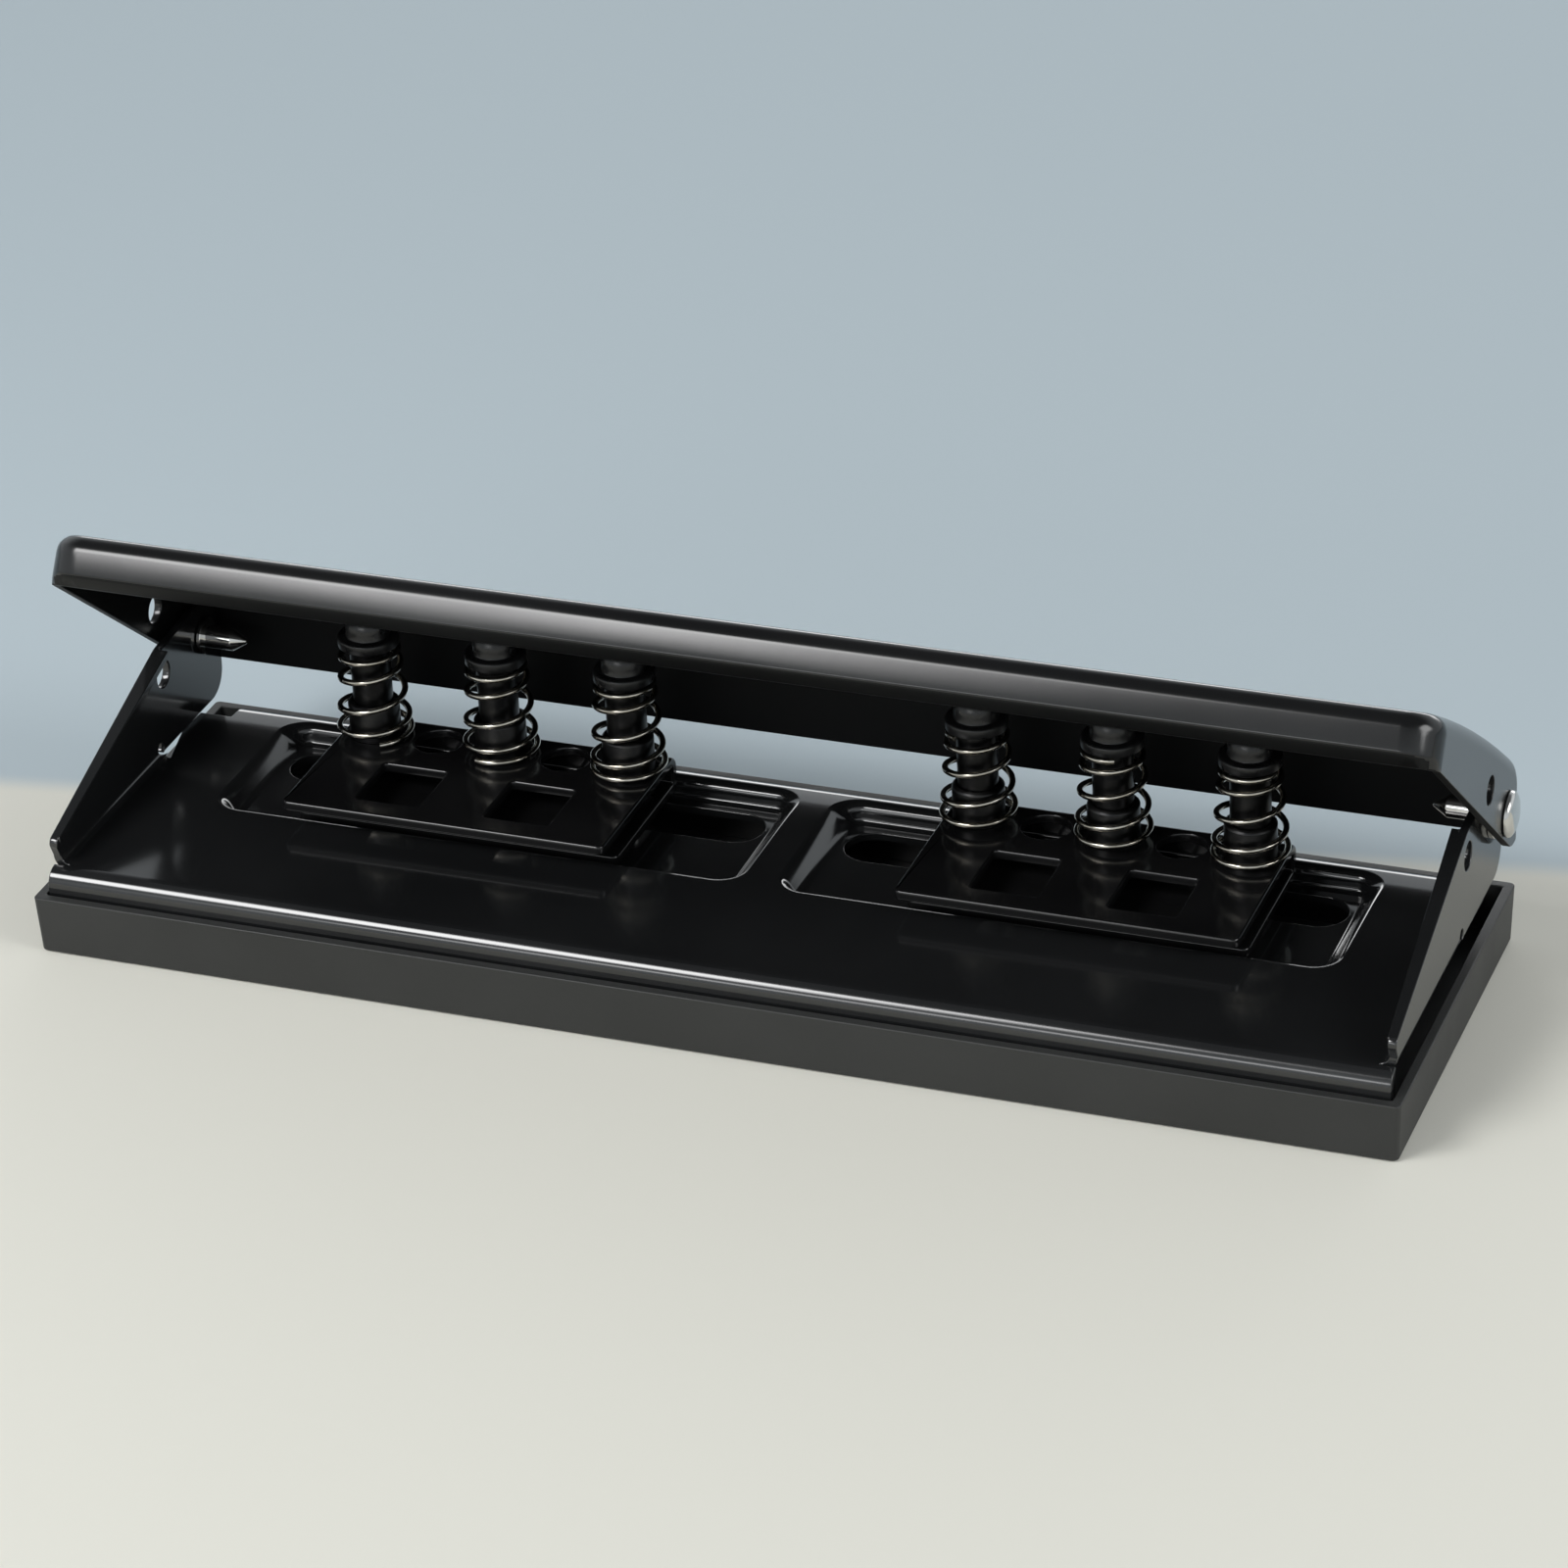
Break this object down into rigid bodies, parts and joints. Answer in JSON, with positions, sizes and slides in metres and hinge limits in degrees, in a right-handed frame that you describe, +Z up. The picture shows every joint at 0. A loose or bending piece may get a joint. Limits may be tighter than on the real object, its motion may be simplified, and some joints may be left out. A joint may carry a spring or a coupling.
{
  "type": "adjustable hole punch",
  "caption": "Desk hole punch with a wide tilting lever over two sliding punch units whose sprung pins pierce paper, and a shallow tray below that catches the chips.",
  "frame": {"origin": "centre of the chip tray's underside, where the punch stands", "axes": "+X along the punch's length, +Y from the lip of the handle to its rear, +Z up"},
  "size_m": [0.1954, 0.0596, 0.0554],
  "materials": {
    "base_paint": "glossy black enamel on pressed steel",
    "handle_paint": "glossy black enamel on pressed steel",
    "bracket_black": "satin black on folded steel",
    "tray_plastic": "matte dark grey, fine moulded grain",
    "spring_wire": "bright nickel-plated wire",
    "black_oxide_steel": "black oxide on turned steel",
    "cap_black": "black, semi-gloss",
    "nickel_steel": "nickel plated, polished",
    "plain_steel": "zinc plated, dull"
  },
  "bodies": {
    "chip_tray": {"chip_tray": "tray_plastic"},
    "base": {"base_plate": "base_paint", "left_pivot_pin": "nickel_steel", "left_pivot_washer": "nickel_steel", "left_pivot_clip": "nickel_steel", "right_pivot_pin": "nickel_steel", "right_pivot_washer": "nickel_steel", "right_pivot_clip": "nickel_steel"},
    "handle": {"handle": "handle_paint"},
    "left_unit": {"left_guide_arm": "bracket_black", "left_die_arm": "bracket_black", "left_bracket_back": "bracket_black", "left_die_plate": "plain_steel", "left_clamp_screw_1": "plain_steel", "left_clamp_screw_2": "plain_steel", "left_slide_nut_1": "plain_steel", "left_slide_nut_2": "plain_steel", "left_guide_bush_1": "black_oxide_steel", "left_guide_bush_2": "black_oxide_steel", "left_guide_bush_3": "black_oxide_steel", "left_return_spring_1": "spring_wire", "left_return_spring_2": "spring_wire", "left_return_spring_3": "spring_wire"},
    "left_pin_1": {"left_punch_pin_1": "black_oxide_steel", "left_pin_cap_1": "cap_black"},
    "left_pin_2": {"left_punch_pin_2": "black_oxide_steel", "left_pin_cap_2": "cap_black"},
    "left_pin_3": {"left_punch_pin_3": "black_oxide_steel", "left_pin_cap_3": "cap_black"},
    "right_unit": {"right_guide_arm": "bracket_black", "right_die_arm": "bracket_black", "right_bracket_back": "bracket_black", "right_die_plate": "plain_steel", "right_clamp_screw_1": "plain_steel", "right_clamp_screw_2": "plain_steel", "right_slide_nut_1": "plain_steel", "right_slide_nut_2": "plain_steel", "right_guide_bush_1": "black_oxide_steel", "right_guide_bush_2": "black_oxide_steel", "right_guide_bush_3": "black_oxide_steel", "right_return_spring_1": "spring_wire", "right_return_spring_2": "spring_wire", "right_return_spring_3": "spring_wire"},
    "right_pin_1": {"right_punch_pin_1": "black_oxide_steel", "right_pin_cap_1": "cap_black"},
    "right_pin_2": {"right_punch_pin_2": "black_oxide_steel", "right_pin_cap_2": "cap_black"},
    "right_pin_3": {"right_punch_pin_3": "black_oxide_steel", "right_pin_cap_3": "cap_black"}
  },
  "joints": [
    {"name": "base_lift", "type": "slide", "parent": "chip_tray", "child": "base", "axis": [0, 0, 1], "range_m": [0, 0.012]},
    {"name": "handle_tilt", "type": "hinge", "parent": "base", "child": "handle", "pos_m": [0, 0.0224, 0.0229], "axis": [1, 0, 0], "range_deg": [0, 40], "stiffness_Nm_per_rad": 0.4, "springref_deg": -28.65},
    {"name": "left_unit_slide", "type": "slide", "parent": "base", "child": "left_unit", "axis": [1, 0, 0], "range_m": [-0.00975, 0.01575]},
    {"name": "right_unit_slide", "type": "slide", "parent": "base", "child": "right_unit", "axis": [1, 0, 0], "range_m": [-0.01575, 0.00975]},
    {"name": "left_pin_1_press", "type": "slide", "parent": "left_unit", "child": "left_pin_1", "axis": [0, 0, -1], "range_m": [0, 0.007], "deforming": ["left_return_spring_1"]},
    {"name": "left_pin_2_press", "type": "slide", "parent": "left_unit", "child": "left_pin_2", "axis": [0, 0, -1], "range_m": [0, 0.007], "deforming": ["left_return_spring_2"]},
    {"name": "left_pin_3_press", "type": "slide", "parent": "left_unit", "child": "left_pin_3", "axis": [0, 0, -1], "range_m": [0, 0.007], "deforming": ["left_return_spring_3"]},
    {"name": "right_pin_1_press", "type": "slide", "parent": "right_unit", "child": "right_pin_1", "axis": [0, 0, -1], "range_m": [0, 0.007], "deforming": ["right_return_spring_1"]},
    {"name": "right_pin_2_press", "type": "slide", "parent": "right_unit", "child": "right_pin_2", "axis": [0, 0, -1], "range_m": [0, 0.007], "deforming": ["right_return_spring_2"]},
    {"name": "right_pin_3_press", "type": "slide", "parent": "right_unit", "child": "right_pin_3", "axis": [0, 0, -1], "range_m": [0, 0.007], "deforming": ["right_return_spring_3"]}
  ],
  "couplings": [
    {"joint": "left_pin_1_press", "follows": "handle_tilt", "m_per_rad": 0.010026},
    {"joint": "left_pin_2_press", "follows": "handle_tilt", "m_per_rad": 0.010026},
    {"joint": "left_pin_3_press", "follows": "handle_tilt", "m_per_rad": 0.010026},
    {"joint": "right_pin_1_press", "follows": "handle_tilt", "m_per_rad": 0.010026},
    {"joint": "right_pin_2_press", "follows": "handle_tilt", "m_per_rad": 0.010026},
    {"joint": "right_pin_3_press", "follows": "handle_tilt", "m_per_rad": 0.010026}
  ]
}
